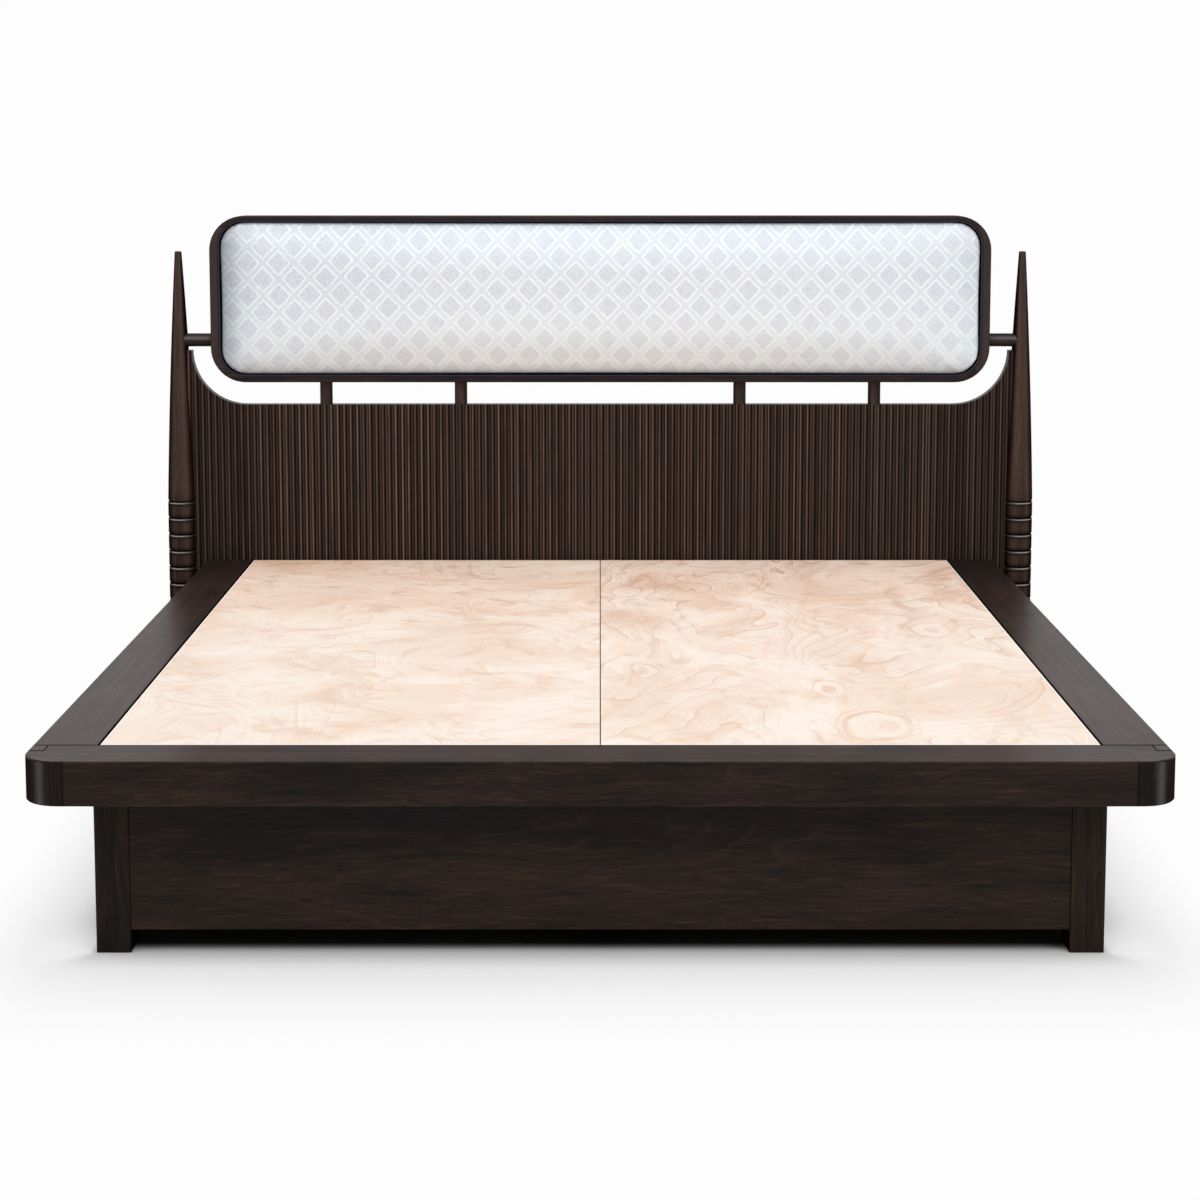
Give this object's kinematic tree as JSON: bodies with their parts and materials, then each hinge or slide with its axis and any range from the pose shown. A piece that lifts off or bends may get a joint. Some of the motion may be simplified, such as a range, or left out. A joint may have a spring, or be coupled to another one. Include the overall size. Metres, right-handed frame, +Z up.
{
  "type": "gas-lift storage bed",
  "caption": "Low timber storage bed with a wide overhanging rim, a hinged plywood deck on gas struts, a fluted headboard, turned spire posts and a padded cushion in a rounded frame.",
  "frame": {"origin": "centre of the whole bed's box, on the floor", "axes": "+Z up, +Y from the foot to the headboard, +X to the right when facing the headboard"},
  "size_m": [2.285, 2.1564, 1.294],
  "materials": {
    "walnut": "satin dark walnut stain",
    "plywood": "bare sanded plywood",
    "black_steel": "black powder coat",
    "zinc_steel": "zinc plated",
    "bright_rod": "polished",
    "rubber": "matt",
    "piping": "dark woven cord",
    "cushion_fabric": "woven diamond lattice"
  },
  "bodies": {
    "bed_base": {"front_rail": "walnut", "side_rail_left": "walnut", "side_rail_right": "walnut", "corner_block_left": "walnut", "corner_block_right": "walnut", "front_panel": "walnut", "side_panel_left": "walnut", "side_panel_right": "walnut", "front_leg_left": "walnut", "front_leg_right": "walnut", "rear_leg_left": "walnut", "rear_leg_right": "walnut", "centre_partition": "walnut", "centre_legs": "walnut", "floor_board_left": "plywood", "floor_board_right": "plywood", "floor_battens": "walnut", "foot_ledge": "walnut", "side_ledge_left": "walnut", "side_ledge_right": "walnut", "rest_pads": "rubber", "headboard_backing": "walnut", "fluted_facing": "walnut", "post_left": "walnut", "post_right": "walnut", "cross_bar_left": "walnut", "cross_bar_right": "walnut", "support_dowels": "walnut", "cushion_frame": "walnut", "cushion_backer": "walnut", "cushion_piping": "piping", "headboard_cushion": "cushion_fabric", "bed_bolts": "zinc_steel", "lift_plate_left": "black_steel", "lift_plate_right": "black_steel", "plate_bolts": "zinc_steel", "pivot_pins": "zinc_steel", "lower_strut_studs": "zinc_steel"},
    "lid": {"deck_board_left": "plywood", "deck_board_right": "plywood", "side_tube_left": "black_steel", "side_tube_right": "black_steel", "foot_tube": "black_steel", "head_tube": "black_steel", "centre_tube": "black_steel", "cross_tubes": "black_steel", "hinge_lug_left": "black_steel", "hinge_lug_right": "black_steel", "upper_strut_studs": "zinc_steel", "board_screws": "zinc_steel"},
    "barrel_left": {"strut_barrel_left": "black_steel"},
    "barrel_right": {"strut_barrel_right": "black_steel"},
    "rod_left": {"strut_rod_left": "bright_rod"},
    "rod_right": {"strut_rod_right": "bright_rod"}
  },
  "joints": [
    {"name": "lid_hinge", "type": "hinge", "parent": "bed_base", "child": "lid", "pos_m": [0, 0.93275, 0.355], "axis": [-1, 0, 0], "range_deg": [0, 38]},
    {"name": "barrel_left_pivot", "type": "hinge", "parent": "bed_base", "child": "barrel_left", "pos_m": [-0.879, 0.79191, 0.09012], "axis": [-1, 0, 0], "range_deg": [0, 19]},
    {"name": "rod_left_pivot", "type": "hinge", "parent": "lid", "child": "rod_left", "pos_m": [-0.879, 0.63275, 0.355], "axis": [1, 0, 0], "range_deg": [0, 19]},
    {"name": "barrel_right_pivot", "type": "hinge", "parent": "bed_base", "child": "barrel_right", "pos_m": [0.879, 0.79191, 0.09012], "axis": [-1, 0, 0], "range_deg": [0, 19]},
    {"name": "rod_right_pivot", "type": "hinge", "parent": "lid", "child": "rod_right", "pos_m": [0.879, 0.63275, 0.355], "axis": [1, 0, 0], "range_deg": [0, 19]}
  ],
  "couplings": [
    {"joint": "barrel_left_pivot", "follows": "lid_hinge", "ratio": 0.5},
    {"joint": "rod_left_pivot", "follows": "lid_hinge", "ratio": 0.5},
    {"joint": "barrel_right_pivot", "follows": "lid_hinge", "ratio": 0.5},
    {"joint": "rod_right_pivot", "follows": "lid_hinge", "ratio": 0.5}
  ]
}
